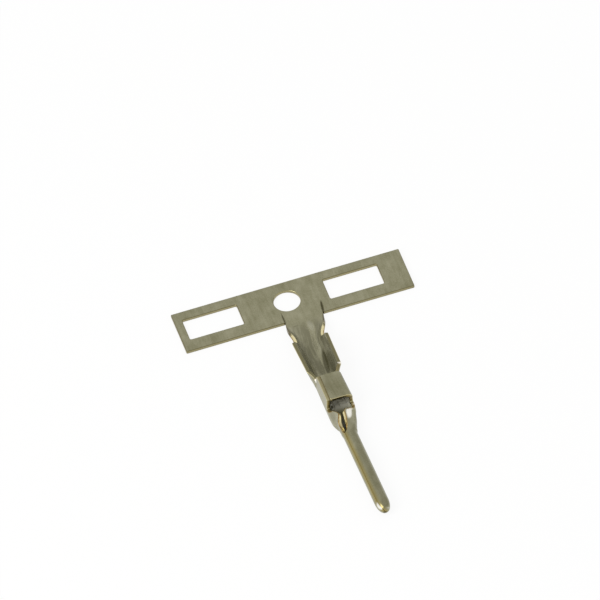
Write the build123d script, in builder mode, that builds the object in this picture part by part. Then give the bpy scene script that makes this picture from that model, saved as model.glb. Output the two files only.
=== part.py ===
"""Crimp pin contact on a piece of its carrier strip, stamped and folded from one sheet.

Millimetres. The origin is the centre of the pilot hole on the underside of the strip. +X runs along
the contact to the tip of its pin, +Y along the strip, +Z up, away from the face it lies on.
"""

from build123d import *
import os
from math import cos, degrees, radians, sin

# Sheet: every wall, fold and lip below has this one thickness.
sheet = 0.20
fold_radius = 0.20  # of the middle of the sheet, in a sharp fold
seam_gap = 0.04  # left open where one edge of the sheet meets another wall or edge

# Carrier strip, with the pilot hole at the origin.
strip_back = 1.37
strip_front = 1.41
strip_left_end = 0.425  # beyond the left window
strip_right_end = 1.445  # beyond the right window
pilot_bore = 1.45
window_length = 3.09
window_width = 1.52
window_corner = 0.14
window_pitch = 7.90
window_middle = -0.21  # of the pair, along the strip
window_shift = -0.05  # of their middle line from the hole's

# Tab: the root of the contact, sheared free of the strip by two slits.
tab_width = 2.14
tab_middle = 0.50
slit_width = 0.04
slit_depth = 0.75
left_slit_slope = 1.0  # degrees from the contact's own direction
right_slit_slope = 8.0

# Lengths of the contact, one after the other from the front edge of the strip.
neck_length = 2.09
wing_rise = 0.24
wing_length = 2.31
wing_chamfer = 0.40
notch_length = 0.13
box_length = 1.82
channel_length = 2.05
pin_length = 5.10
nose_length = 0.69

# Sideways place of the contact's middle line, which the neck brings over from the tab.
barrel_middle = 0.19
box_middle = 0.235
pin_middle = 0.19
channel_straight = 0.90  # length of channel before its middle line runs over to the pin's

# Open barrel that the wire is crimped in.
barrel_floor = 0.30
barrel_fold = 0.71  # length of sheet in each of its two lower folds
wing_lean = 15.0  # degrees outward from upright
wing_left_lean = 8.0  # of the left wing at its front
wing_wall = 0.70  # length of sheet above the fold
notch_floor = 0.56
notch_fold = 0.52
notch_wall = 0.44

# Box that stiffens the contact behind its pin.
box_width = 1.40
box_height = 1.22
box_left_lean = 5.0  # degrees inward from upright
box_flare = 0.08  # by which the right wall stands further out at the front than at the back
low_wall = 0.56  # where the barrel runs into the box

# Channel in front of the box: its walls step down, lean together in two leaves and roll up into the
# pin. Each row is a cross-section: how far it lies in front of the box, then for the left and the
# right half how far the wall stands in from the box's, the wall's length, the degrees that the leaf
# leans inward, and the leaf's length.
channel = [
    (0.00, (0.0, 0.05, 2.0, 0.08), (0.0, 0.08, 2.0, 0.10)),
    (0.18, (0.0, 0.05, 2.0, 0.08), (-0.01, 0.08, 2.0, 0.10)),
    (0.44, (0.0, 0.08, 40.0, 0.30), (0.015, 0.08, 20.0, 0.12)),
    (0.68, (0.01, 0.06, 44.0, 0.38), (0.08, 0.06, 45.0, 0.64)),
    (0.90, (0.025, 0.04, 43.0, 0.44), (0.135, 0.06, 44.0, 0.70)),
    (1.20, (0.127, 0.04, 20.0, 0.35), (0.19, 0.06, 43.0, 0.60)),
]
leaf_bend = 0.12  # length of sheet in the bend between wall and leaf

# Throat, where the leaves draw in to the pin. Each row is a cross-section: how far it lies in front
# of the box, then the left and the right half, each of them lengths of sheet from the middle of the
# floor outward with the degrees that each length turns through.
throat = [
    (1.55, [(0.12, 0.0), (0.38, 90.0), (0.10, 0.0), (0.12, 0.0), (0.15, 0.0)],
     [(0.20, 0.0), (0.346, 90.0), (0.05, 0.0), (0.20, 45.0), (0.45, 10.0)]),
    (1.85, [(0.10, 0.0), (0.38, 95.0), (0.06, 4.0), (0.08, 8.0), (0.05, 4.0)],
     [(0.12, 0.0), (0.38, 90.0), (0.05, 0.0), (0.30, 70.0), (0.28, 15.0)]),
]

# Rolled pin.
pin_size = 0.79
pin_seam = 45.0  # degrees from the top of the pin towards the left
nose_size = 0.26  # left flat at the very tip
pin_skew = 1.2  # degrees that the pin points to the right of the contact's own direction

half = sheet / 2


def bent_line(start, heading, length, turn, shift):
    """Start, middle and end of a line beside a bent length of sheet.

    The middle of the sheet starts at start with a heading in degrees and turns left through turn
    over its length. The line lies shift to the left of it.
    """
    points = []
    for share in (0.0, 0.5, 1.0):
        begin = radians(heading)
        end = radians(heading + turn * share)
        if turn:
            radius = length / radians(turn)
            across = radius * (sin(end) - sin(begin))
            up = radius * (cos(begin) - cos(end))
        else:
            across = length * share * cos(begin)
            up = length * share * sin(begin)
        points.append((start[0] + across - shift * sin(end), start[1] + up + shift * cos(end)))
    return points


def side_lines(pieces, side, shift):
    """Lines beside one side of the sheet, from the middle of the floor out to the lip.

    side is 1 for the right and -1 for the left, and shift is how far inside the middle of the sheet
    the lines run.
    """
    start = (0.0, half)
    heading = 0.0
    lines = []
    for length, turn in pieces:
        line = bent_line(start, heading, length, turn, shift)
        lines.append([(side * across, up) for across, up in line])
        start = bent_line(start, heading, length, turn, 0.0)[-1]
        heading += turn
    return lines


def along(skew):
    """Direction that lies skew degrees to the right of the contact's own."""
    return (cos(radians(skew)), sin(radians(skew)), 0)


def bent_section(x, middle, left, right, skew=0.0):
    """Cross-section of the bent sheet at x, a face that looks along the contact.

    middle is its place across, and it is turned to the right by skew degrees. left and right list
    the pieces of sheet from the middle of the floor out to each lip, each piece a length and the
    degrees that it turns through. The face is made from its edges one by one, because a sketch
    would join those that lie in line, and two sections loft piece to piece only if they have the
    same edges.
    """
    outline = []
    for side, pieces in ((1, right), (-1, left)):
        outer = side_lines(pieces, side, -half)
        inner = side_lines(pieces, side, half)
        for line, piece in zip(outer + inner, pieces + pieces):
            if piece[1]:
                outline.append(ThreePointArc(*line, mode=Mode.PRIVATE))
            else:
                outline.append(Line(line[0], line[-1], mode=Mode.PRIVATE))
        outline.append(Line(outer[-1][-1], inner[-1][-1], mode=Mode.PRIVATE))
    ahead = along(skew)
    plane = Plane(origin=(x, middle, 0), x_dir=(-ahead[1], ahead[0], 0), z_dir=ahead)
    return plane * Face(Wire.combine(outline)[0])


def barrel_side(turn, wall):
    """Half of the open barrel: its floor, its lower fold through turn degrees, and a wall."""
    return [(barrel_floor / 2, 0.0), (barrel_fold, turn), (wall, 0.0)]


def rolled_side(pieces, turn):
    """The same pieces of sheet rolled to the pin's radius, through turn degrees in all."""
    sheet_length = sum(length for length, _ in pieces)
    return [(pin_roll * radians(turn) * length / sheet_length, turn * length / sheet_length)
            for length, _ in pieces]


def ease(share):
    """Share of a movement that starts and ends gently."""
    return share * share * (3 - 2 * share)


# Places along the contact.
neck_end = strip_front + neck_length
wing_rear = neck_end + wing_rise
wing_front = wing_rear + wing_length
notch = wing_front + wing_chamfer
box_rear = notch + notch_length
box_front = box_rear + box_length
pin_rear = box_front + channel_length
pin_ahead = along(pin_skew)
nose_base = (pin_rear + pin_length * pin_ahead[0], pin_middle + pin_length * pin_ahead[1], pin_size / 2)

# Lengths of sheet that follow from the sizes above.
neck_wall = tab_width / 2 - barrel_floor / 2 - barrel_fold
wing_turn = 90 - wing_lean
box_left_turn = 90 + box_left_lean
sharp_fold = fold_radius * radians(90)
left_fold = fold_radius * radians(box_left_turn)
inward = sin(radians(box_left_lean))
box_half_floor = box_width / 2 - half - fold_radius
right_wall = box_height - sheet - 2 * fold_radius
left_wall = (box_height - half - fold_radius * (1 + inward) - half * inward) / cos(radians(box_left_lean))
flap = box_half_floor + box_width / 2 - sheet - seam_gap - left_wall * inward
pin_roll = (pin_size - sheet) / 2
half_gap = degrees(seam_gap / 2 / pin_roll)


def box_side(reach, turn, fold, *rest):
    """Half of the box: floor and lower fold out to reach, and what stands on that.

    reach is how far the wall stands out beyond half the width of the box.
    """
    return [(box_half_floor + reach, 0.0), (fold, turn), *rest]


def channel_side(stands_in, wall, lean, leaf, flare):
    """Half of the channel: floor, lower fold, wall, the bend inward and the leaf."""
    return box_side(flare - stands_in, 90.0, sharp_fold, (wall, 0.0), (leaf_bend, lean), (leaf, 0.0))


def middle_at(ahead):
    """Sideways place of the middle line, ahead of the front of the box."""
    share = max(0.0, (ahead - channel_straight) / (channel_length - channel_straight))
    return box_middle + share * (pin_middle - box_middle)


# Cross-sections from the tab to the notch behind the box.
neck_side = barrel_side(wing_turn, neck_wall)
wing_side = barrel_side(wing_turn, wing_wall)
wing_left_front = barrel_side(90 - wing_left_lean, wing_wall)
notch_left = [(notch_floor / 2, 0.0), (notch_fold, box_left_turn), (notch_wall, 0.0)]
notch_right = [(notch_floor / 2, 0.0), (notch_fold, 90.0), (notch_wall, 0.0)]

# Cross-sections of the box, and of its lower walls where the barrel runs into it.
low_left = box_side(0.0, box_left_turn, left_fold, (low_wall, 0.0))
low_right = box_side(0.0, 90.0, sharp_fold, (low_wall, 0.0))
box_left = box_side(0.0, box_left_turn, left_fold, (left_wall, 0.0))
box_right_rear = box_side(0.0, 90.0, sharp_fold, (right_wall, 0.0), (sharp_fold, 90.0), (flap, 0.0))
box_right_front = box_side(box_flare, 90.0, sharp_fold, (right_wall, 0.0), (sharp_fold, 90.0),
                           (flap + box_flare, 0.0))

# Cross-sections of the channel, the throat and the pin.
channel_sections = [bent_section(box_front + ahead, middle_at(ahead), channel_side(*left, 0.0),
                                 channel_side(*right, box_flare))
                    for ahead, left, right in channel]
channel_sections += [bent_section(box_front + ahead, middle_at(ahead), left, right)
                     for ahead, left, right in throat]
pin_left = rolled_side(throat[-1][1], 180 - pin_seam - half_gap)
pin_right = rolled_side(throat[-1][2], 180 + pin_seam - half_gap)
pin_section = bent_section(pin_rear, pin_middle, pin_left, pin_right, pin_skew)

with BuildPart() as pin_contact:
    # Carrier strip with its pilot hole, two windows and the slits beside the tab.
    strip_length = strip_left_end + window_pitch + window_length + strip_right_end
    strip_width = strip_back + strip_front
    strip_x = (strip_front - strip_back) / 2
    strip_y = window_middle + (strip_right_end - strip_left_end) / 2
    with BuildSketch(Plane.XY):
        with Locations((strip_x, strip_y)):
            Rectangle(strip_width, strip_length)
        Circle(pilot_bore / 2, mode=Mode.SUBTRACT)
        with Locations((window_shift, window_middle)):
            with GridLocations(0, window_pitch, 1, 2):
                RectangleRounded(window_width, window_length, window_corner, mode=Mode.SUBTRACT)
        for side, slope in ((-1, left_slit_slope), (1, right_slit_slope)):
            slit_y = tab_middle + side * (tab_width + slit_width) / 2
            with Locations(Location((strip_front, slit_y), -slope)):
                Rectangle(2 * slit_depth, slit_width, mode=Mode.SUBTRACT)
    extrude(amount=sheet)

    # Neck: the flat tab curls up into the open barrel and runs over to its middle line.
    neck_shares = [0.0, 0.2, 0.4, 0.6, 0.8, 1.0]
    loft(sections=[bent_section(strip_front + share * neck_length,
                                tab_middle + share * (barrel_middle - tab_middle),
                                barrel_side(ease(share) * wing_turn, neck_wall),
                                barrel_side(ease(share) * wing_turn, neck_wall))
                   for share in neck_shares])

    # Wings of the barrel: they rise behind, run level, and fall away to the notch behind the box.
    loft(sections=[bent_section(neck_end, barrel_middle, neck_side, neck_side),
                   bent_section(wing_rear, barrel_middle, wing_side, wing_side)], ruled=True)
    loft(sections=[bent_section(wing_rear, barrel_middle, wing_side, wing_side),
                   bent_section(wing_front, barrel_middle, wing_left_front, wing_side)], ruled=True)
    loft(sections=[bent_section(wing_front, barrel_middle, wing_left_front, wing_side),
                   bent_section(notch, barrel_middle, notch_left, notch_right),
                   bent_section(box_rear, box_middle, low_left, low_right)], ruled=True)

    # Box: the right wall folds over the top, and its edge meets the left wall.
    loft(sections=[bent_section(box_rear, box_middle, box_left, box_right_rear),
                   bent_section(box_front, box_middle, box_left, box_right_front)], ruled=True)

    # Channel: the walls step down in front of the box, lean together and roll into the pin.
    loft(sections=[*channel_sections, pin_section], ruled=True)
    extrude(pin_section, amount=pin_length, dir=pin_ahead)

    # Nose of the pin, pressed shut to a rounded point.
    with BuildSketch(Plane(origin=nose_base, x_dir=pin_ahead, z_dir=(pin_ahead[1], -pin_ahead[0], 0))):
        with BuildLine():
            Line((nose_length, nose_size / 2), (nose_length, 0))
            Line((nose_length, 0), (0, 0))
            Line((0, 0), (0, pin_size / 2))
            EllipticalCenterArc((0, nose_size / 2), nose_length, (pin_size - nose_size) / 2, arc_size=90)
        make_face()
    revolve(axis=Axis(nose_base, pin_ahead))

pin_contact.part.label = "pin_contact"

os.makedirs("parts", exist_ok=True)
export_step(pin_contact.part, "parts/pin_contact.step")
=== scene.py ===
"""Crimp pin contact on a piece of its carrier strip, dressed for its picture.

The contact is one sheet: its flat blank is drawn, given rounded cut edges, and then bent as the
press bends it. Sizes are in millimetres and turn to metres where a mesh, a lamp or the camera is
made. u runs along the blank, s across it from the contact's middle line, and t through it, from
the middle of the sheet to its inner face.
"""

import logging
from collections.abc import Callable
from dataclasses import dataclass
from enum import Enum
from math import cos, degrees, pi, radians, sin

import bpy
import numpy as np
from mathutils import Matrix, Vector
from mathutils.geometry import delaunay_2d_cdt


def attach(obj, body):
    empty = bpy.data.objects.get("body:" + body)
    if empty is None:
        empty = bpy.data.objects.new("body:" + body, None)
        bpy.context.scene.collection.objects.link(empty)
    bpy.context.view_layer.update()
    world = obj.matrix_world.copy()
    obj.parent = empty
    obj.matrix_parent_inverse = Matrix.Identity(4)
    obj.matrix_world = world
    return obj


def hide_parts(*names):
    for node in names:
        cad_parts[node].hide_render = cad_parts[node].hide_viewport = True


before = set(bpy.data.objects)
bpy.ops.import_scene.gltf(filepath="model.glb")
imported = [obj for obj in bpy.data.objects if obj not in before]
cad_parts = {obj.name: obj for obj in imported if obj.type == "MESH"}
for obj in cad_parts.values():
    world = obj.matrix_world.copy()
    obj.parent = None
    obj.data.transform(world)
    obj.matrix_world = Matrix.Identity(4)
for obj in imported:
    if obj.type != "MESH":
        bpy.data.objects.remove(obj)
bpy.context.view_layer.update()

LOG = logging.getLogger("crimp_pin_contact")
MM = 0.001
# Distance in millimetres under which two places on the blank are one.
HAIR = 1e-6
# Largest turn from one point of a rounded corner to the next.
ARC_STEP = radians(15)
# How steeply a mark fades towards its edge.
FADE = 1.6

Array = np.ndarray
Piece = tuple[float, float]
Course = tuple[tuple[float, ...], tuple[float, ...]]

# Each course below is a row of places u and the values there, which change evenly in between.
# How bare and bright the cut edge is where no tin smears over it, on the left and on the right.
# The short bright spans near u 6.5 on the left and 6.05 on the right are bare brass and painted
# glints both.
BARE_LEFT: Course = (
    (1.2, 1.50, 2.60, 2.85, 3.40, 3.55, 6.40, 6.48, 6.56, 6.62, 8.46, 8.70, 15.8),
    (0.2, 0.15, 0.20, 1.00, 1.00, 0.00, 0.00, 0.90, 0.90, 0.15, 0.30, 1.00, 1.00))
BARE_RIGHT: Course = (
    (1.2, 1.50, 2.58, 2.78, 3.40, 3.55, 5.98, 6.05, 6.12, 6.50, 6.60, 8.46, 8.70, 15.8),
    (0.2, 0.15, 0.20, 1.00, 1.00, 0.00, 0.00, 0.40, 0.10, 0.10, 0.15, 0.25, 1.00, 1.00))
# How matte the inner face is where no tool rubs it, and how pale painted light makes its walls
# and all of it.
MATTE_INSIDE: Course = ((1.6, 2.2, 3.6, 6.4, 6.7, 10.3, 10.5),
                        (0.0, 0.5, 0.55, 0.55, 1.0, 1.0, 0.0))
PAINTED_LIGHT_WALLS: Course = ((3.2, 3.7, 6.4, 6.6), (0.0, 0.2, 0.2, 0.0))
PAINTED_LIGHT_INSIDE: Course = ((6.5, 7.0, 8.2, 8.6), (0.0, 0.8, 0.8, 0.0))
# How pale the outside of the left wall is: a painted reflection of the pale floor.
PAINTED_REFLECTION_OUTSIDE: Course = ((8.0, 8.6, 10.2, 10.5), (0.0, 0.2, 0.2, 0.0))
# Where the plating is thin beside the seam of the pin.
THIN_SEAM: Course = ((10.2, 10.5), (0.0, 1.0))
# Radius of the cut edge, in millimetres.
EDGE_ROUND: Course = ((6.50, 6.65, 8.30, 8.38, 10.3, 10.5),
                      (0.045, 0.010, 0.010, 0.045, 0.045, 0.009))


class Face(Enum):
    """Which face of the sheet a mark is on."""

    INNER = 1
    OUTER = -1
    BOTH = 0


@dataclass(frozen=True)
class Mark:
    """Painted highlight or painted shade: an ellipse on the blank, turned by some degrees, fading
    outward.
    """

    u: float
    s: float
    half_length: float
    half_width: float
    turn: float
    strength: float
    face: Face

    def on(self, u: Array, s: Array, t: Array) -> Array:
        """How strong the mark is at each place.

        With d the distance from its middle in half lengths and half widths, it is FADE (1 - d^2)
        of its strength, kept between none and all of it.

        Args:
            u, s, t: places on the blank.

        Returns:
            One share for each place.
        """
        along, across = u - self.u, s - self.s
        cosine, sine = cos(radians(self.turn)), sin(radians(self.turn))
        far = (((along * cosine + across * sine) / self.half_length) ** 2
               + ((across * cosine - along * sine) / self.half_width) ** 2)
        return self.strength * np.clip(FADE * (1 - far), 0, 1) * (t * self.face.value >= 0)


# Painted highlights: bright places that stand in for the lamp's glints on the right leaf, the tip,
# the notch, the neck and inside the box.
PAINTED_HIGHLIGHTS = (
    Mark(9.30, 1.30, 0.46, 0.24, 0.0, 1.0, Face.OUTER),
    Mark(15.86, -0.49, 0.30, 0.08, 36.0, 1.0, Face.OUTER),
    Mark(16.06, 0.32, 0.07, 0.07, 0.0, 0.3, Face.OUTER),
    Mark(2.15, 0.25, 0.48, 0.18, 17.0, 0.10, Face.INNER),
    Mark(6.51, -1.22, 0.09, 0.14, 0.0, 1.0, Face.BOTH),
    Mark(6.03, 1.56, 0.06, 0.06, 0.0, 1.0, Face.BOTH),
    Mark(7.92, -0.30, 0.07, 0.05, 0.0, 0.9, Face.INNER),
    Mark(8.24, -0.30, 0.06, 0.05, 0.0, 0.9, Face.INNER),
    Mark(8.62, 1.12, 0.08, 0.08, 0.0, 0.7, Face.INNER))
# Painted shade: dark places in the slits, along the neck's folds and edges, in the barrel, the
# notch and the channel, on the box's fold, along the pin and under its tip.
PAINTED_SHADE = (
    Mark(1.93, -0.57, 0.08, 0.24, 12.0, 0.45, Face.INNER),
    Mark(2.55, -0.04, 0.75, 0.045, -4.0, 0.45, Face.INNER),
    Mark(2.78, 0.48, 0.72, 0.045, -3.0, 0.45, Face.INNER),
    Mark(2.58, -0.31, 0.52, 0.06, 15.8, 0.40, Face.INNER),
    Mark(4.80, -1.05, 1.25, 0.36, -6.0, 0.45, Face.INNER),
    Mark(5.00, 0.48, 1.10, 0.24, -9.0, 1.00, Face.INNER),
    Mark(5.35, 0.95, 1.00, 0.50, 0.0, 0.65, Face.INNER),
    Mark(1.12, 1.13, 0.55, 0.085, -8.0, 1.0, Face.BOTH),
    Mark(1.20, -1.07, 0.38, 0.070, 1.0, 0.8, Face.BOTH),
    Mark(6.26, 1.36, 0.24, 0.32, 0.0, 0.35, Face.BOTH),
    Mark(7.50, 1.45, 1.30, 0.12, 0.0, 0.7, Face.OUTER),
    Mark(7.55, 2.10, 1.20, 0.70, 0.0, 0.2, Face.OUTER),
    Mark(1.95, 1.07, 0.50, 0.10, 0.0, 0.8, Face.BOTH),
    Mark(2.20, -1.06, 0.50, 0.09, 0.0, 0.7, Face.BOTH),
    Mark(9.50, 0.00, 1.40, 1.20, 0.0, 0.85, Face.INNER),
    Mark(13.30, 0.71, 5.40, 0.36, 0.0, 0.32, Face.OUTER),
    Mark(14.80, 0.95, 3.20, 0.50, 0.0, 0.15, Face.OUTER),
    Mark(13.30, -1.00, 5.60, 0.34, 0.0, 0.25, Face.OUTER),
    Mark(10.20, 1.02, 0.90, 0.45, 0.0, 0.14, Face.OUTER),
    Mark(16.20, -0.08, 0.10, 0.12, 0.0, 0.8, Face.OUTER))


def hex_to_linear(code: str) -> tuple[float, float, float, float]:
    """Turn an sRGB colour to the linear one that a shader takes.

    A channel c becomes c / 12.92 up to 0.04045, and ((c + 0.055) / 1.055) ** 2.4 above it.

    Args:
        code: six hex digits after a hash.

    Returns:
        Linear red, green, blue, and an alpha of 1.
    """
    channels = np.array([int(code[i:i + 2], 16) for i in (1, 3, 5)]) / 255
    linear = np.where(channels <= 0.04045, channels / 12.92, ((channels + 0.055) / 1.055) ** 2.4)
    return (*linear.tolist(), 1.0)


def add_node(tree: bpy.types.NodeTree, kind: str, settings: dict | None = None,
             links: dict | None = None) -> bpy.types.Node:
    """Add one node with its settings and the links into it.

    Args:
        tree: node tree that it goes into.
        kind: Blender's name for the node's type.
        settings: attribute names, or input names and numbers, with their values.
        links: inputs, by name or number, with the output socket that feeds each.

    Returns:
        The new node.
    """
    node = tree.nodes.new(kind)
    for name, value in (settings or {}).items():
        if isinstance(name, str) and hasattr(node, name):
            setattr(node, name, value)
        else:
            node.inputs[name].default_value = value
    for name, source in (links or {}).items():
        tree.links.new(source, node.inputs[name])
    return node


def round_corners(corners: Array, spacing: float) -> Array:
    """Closed outline with its corners rounded and its sides divided evenly.

    A corner of radius r whose sides turn by a starts and ends r tan(a / 2) from its point. Its arc
    has a point every ARC_STEP or less.

    Args:
        corners: place and radius of each corner, one a row.
        spacing: longest side of the outline that is returned.

    Returns:
        Points of the outline, one a row.
    """
    points, radii = corners[:, :2], corners[:, 2]
    before = points - np.roll(points, 1, axis=0)
    after = np.roll(points, -1, axis=0) - points
    way_in = before / np.linalg.norm(before, axis=1)[:, None]
    way_out = after / np.linalg.norm(after, axis=1)[:, None]
    turn = np.arctan2(way_in[:, 0] * way_out[:, 1] - way_in[:, 1] * way_out[:, 0],
                      (way_in * way_out).sum(1))
    back = radii * np.tan(np.abs(turn) / 2)
    outline: list[Array] = []
    for i in range(len(points)):
        start = points[i] - way_in[i] * back[i]
        side = np.array([-way_in[i][1], way_in[i][0]]) * np.sign(turn[i])
        steps = max(1, int(np.ceil(abs(turn[i]) / ARC_STEP))) if radii[i] else 0
        angles = np.linspace(0, abs(turn[i]), steps + 1)[:, None]
        arc = start + radii[i] * (np.sin(angles) * way_in[i] + (1 - np.cos(angles)) * side)
        end, j = arc[-1], (i + 1) % len(points)
        reach = points[j] - way_in[j] * back[j] - end
        count = max(1, int(np.ceil(np.linalg.norm(reach) / spacing)))
        run = end + reach * np.linspace(0, 1, count, endpoint=False)[1:, None]
        outline += [arc, run]
    return np.vstack(outline)


def edge_profile() -> tuple[Array, Array, Array, Array]:
    """Layers of the rounded cut edge, from the top face to the bottom one.

    At the angle a of its quarter arc, a layer is set in by 1 - sin(a) radii and sunk by
    1 - cos(a) radii. One more layer runs along the middle of the cut wall.

    Returns:
        For each layer how far it is set in and sunk, the face that it is sunk from (1 for the top,
        0 for the middle, -1 for the bottom), and the angle that its normal leans outward.
    """
    arc = np.radians([0, 30, 60, 90])
    inset = np.concatenate([1 - np.sin(arc), [0.0], 1 - np.sin(arc[::-1])])
    sink = np.concatenate([1 - np.cos(arc), [0.0], np.cos(arc[::-1]) - 1])
    face = np.array([1.0] * len(arc) + [0.0] + [-1.0] * len(arc))
    lean = np.concatenate([arc, [pi / 2], pi - arc[::-1]])
    return inset, sink, face, lean


def within(points: Array, loop: Array) -> Array:
    """Whether each point is inside a loop: a ray along +u crosses it an odd number of times.

    Args:
        points: places, one a row.
        loop: points of a closed outline, one a row.

    Returns:
        One truth value a place.
    """
    a, b = loop, np.roll(loop, -1, axis=0)
    s = points[:, 1][:, None]
    spans = (a[:, 1] > s) != (b[:, 1] > s)
    with np.errstate(divide="ignore", invalid="ignore"):
        cross = a[:, 0] + (s - a[:, 1]) * (b[:, 0] - a[:, 0]) / (b[:, 1] - a[:, 1])
    return ((points[:, 0][:, None] < cross) & spans).sum(axis=1) % 2 == 1


def fill(flat: Array, loops: list[Array]) -> Array:
    """Triangles over the blank's face, all turning left.

    Args:
        flat: points of the outlines and those inside them, one a row.
        loops: numbers of each outline's points, the outer one first.

    Returns:
        Three numbers of points a row.
    """
    outer, *openings = [loop.tolist() for loop in loops]
    edges = [(a, b) for loop in openings for a, b in zip(loop, loop[1:] + loop[:1])]
    made = delaunay_2d_cdt([Vector(p) for p in flat], edges, [outer], 1, HAIR, False)
    triangles = np.array(made[2])
    assert len(made[0]) == len(flat), "the blank's outline crosses itself"
    a, b, c = (flat[triangles[:, k]] for k in range(3))
    centre = (a + b + c) / 3
    keep = within(centre, flat[outer])
    for loop in openings:
        keep &= ~within(centre, flat[loop])
    area = (b - a)[:, 0] * (c - a)[:, 1] - (b - a)[:, 1] * (c - a)[:, 0]
    return np.where((area < 0)[:, None], triangles[:, ::-1], triangles)[keep]


def add_piece(name: str, points: Array, faces: list[list[int]], slots: Array, shade: Array,
              attributes: dict[str, Array]) -> bpy.types.Object:
    """Put arrays into a mesh and that into the scene.

    Args:
        name: name of the piece.
        points: its points, one a row.
        faces: numbers of each face's points.
        slots: number of each face's material.
        shade: normal at each point.
        attributes: name of each vector attribute, with one row a point.

    Returns:
        The piece.
    """
    mesh = bpy.data.meshes.new(name)
    mesh.from_pydata(points.tolist(), [], faces)
    mesh.polygons.foreach_set("use_smooth", np.ones(len(faces), bool))
    mesh.polygons.foreach_set("material_index", slots)
    for label, rows in attributes.items():
        layer = mesh.attributes.new(label, "FLOAT_VECTOR", "POINT")
        layer.data.foreach_set("vector", rows.astype(np.float32).ravel())
    mesh.update()
    mesh.normals_split_custom_set_from_vertices(shade.tolist())
    piece = bpy.data.objects.new(name, mesh)
    bpy.context.scene.collection.objects.link(piece)
    return piece


class Carry(Enum):
    """How a cross-section changes between two keys."""

    EVEN = "in a straight line"
    FLOWING = "on one smooth curve through all keys"


@dataclass(frozen=True)
class Key:
    """One cross-section of the bent sheet.

    left and right list the pieces of sheet from the middle of the floor out to the lips, each a
    length and the degrees that it turns through. x, across and height place the floor's middle.
    """

    u: float
    x: float
    across: float
    height: float
    left: tuple[Piece, ...]
    right: tuple[Piece, ...]

    def side(self, side: int) -> tuple[Piece, ...]:
        """The pieces on the right if side is 1, and on the left if it is -1."""
        return self.right if side > 0 else self.left


@dataclass(frozen=True)
class Stretch:
    """A stretch of the contact whose cross-sections have the same pieces."""

    keys: tuple[Key, ...]
    carry: Carry

    def table(self, pick: Callable[[Key], float | list | tuple]) -> Array:
        """Values that pick takes from each key, as one row a key."""
        return np.array([pick(key) for key in self.keys], float)

    def at(self, u: Array, values: Array) -> Array:
        """Carry values between the keys.

        With q the share of the way from one key to the next, EVEN is a + q (b - a), and FLOWING
        is the cubic with values a, b and slopes m, n at its ends:
        (2q^3 - 3q^2 + 1) a + (q^3 - 2q^2 + q) m + (3q^2 - 2q^3) b + (q^3 - q^2) n.
        A slope is the harmonic mean of those on both sides of a key where they have one sign, that
        of the first span at the first key, and 0 elsewhere.

        Args:
            u: places along the blank.
            values: one value a key.

        Returns:
            One value for each place.
        """
        places = self.table(lambda key: key.u)
        low = np.clip(np.searchsorted(places, u, side="right") - 1, 0, len(places) - 2)
        width = np.diff(places)
        q = (u - places[low]) / width[low]
        a, b = values[low], values[low + 1]
        if self.carry is Carry.EVEN:
            return a + q * (b - a)
        rise = np.diff(values) / width
        before, after = rise[:-1], rise[1:]
        same = before * after > 0
        slopes = np.zeros(len(places))
        slopes[1:-1][same] = 2 * before[same] * after[same] / (before[same] + after[same])
        slopes[0] = rise[0]
        m, n = slopes[low] * width[low], slopes[low + 1] * width[low]
        return ((2 * q ** 3 - 3 * q ** 2 + 1) * a + (q ** 3 - 2 * q ** 2 + q) * m
                + (3 * q ** 2 - 2 * q ** 3) * b + (q ** 3 - q ** 2) * n)

    def lip(self, u: Array, side: int) -> Array:
        """Length of sheet from the middle line out to the lip: the sum of the pieces' lengths."""
        pieces = self.table(lambda key: [length for length, _ in key.side(side)])
        return sum(self.at(u, pieces[:, k]) for k in range(pieces.shape[1]))

    def bend(self, u: Array, s: Array) -> Array:
        """Middle of the bent sheet.

        From the floor's middle, each piece of length l and turn a adds to a point's way the share
        q of it that lies nearer than s: a chord q sin(h) / h, where h is half the angle turned
        over q, at the heading so far plus h. Past the lip the last piece goes on.

        Args:
            u: places along the blank.
            s: places across the blank.

        Returns:
            One point a row.
        """
        out = np.zeros((len(u), 3))
        out[:, 0] = self.at(u, self.table(lambda key: key.x))
        middle = self.at(u, self.table(lambda key: key.across))
        for side in (-1, 1):
            here = s >= 0 if side > 0 else s < 0
            pieces = self.table(lambda key: key.side(side))
            reach = np.abs(s[here])
            y, z, heading = np.zeros(len(reach)), np.zeros(len(reach)), np.zeros(len(reach))
            for k in range(pieces.shape[1]):
                length = self.at(u[here], pieces[:, k, 0])
                turn = np.radians(self.at(u[here], pieces[:, k, 1]))
                last = k == pieces.shape[1] - 1
                q = np.clip(reach, 0, None if last else length)
                half_angle = turn * q / length / 2
                chord = q * np.sinc(half_angle / pi)
                y += chord * np.cos(heading + half_angle)
                z += chord * np.sin(heading + half_angle)
                heading += 2 * half_angle
                reach = reach - q
            out[here, 1] = middle[here] + side * y
            out[here, 2] = z
        out[:, 2] += self.at(u, self.table(lambda key: key.height))
        return out


@dataclass(frozen=True)
class StripSizes:
    """Carrier strip: its edges, pilot hole, windows and the slits beside the tab.

    The pilot hole's middle is where u is 0. left and right are measured from there, and the tab
    from its own middle. The slits slope outward by some degrees.
    """

    back: float = 1.345
    left: float = 6.13
    right: float = 6.73
    pilot_bore: float = 1.45
    window_length: float = 3.05
    window_width: float = 1.455
    window_corner: float = 0.09
    window_pitch: float = 7.90
    window_middle: float = -0.195
    window_shift: float = -0.017
    slit_width: float = 0.006
    slit_depth: float = 0.75
    left_slope: float = 1.0
    right_slope: float = 8.0


@dataclass(frozen=True)
class Places:
    """Places along the contact, from the front edge of the strip to the tip."""

    strip_front: float = 1.48
    neck_end: float = 3.50
    wing_rear: float = 3.74
    wing_front: float = 6.05
    notch: float = 6.45
    box_rear: float = 6.58
    box_front: float = 8.40
    pin_rear: float = 10.45
    nose_rear: float = 15.50
    nose_front: float = 16.28


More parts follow.
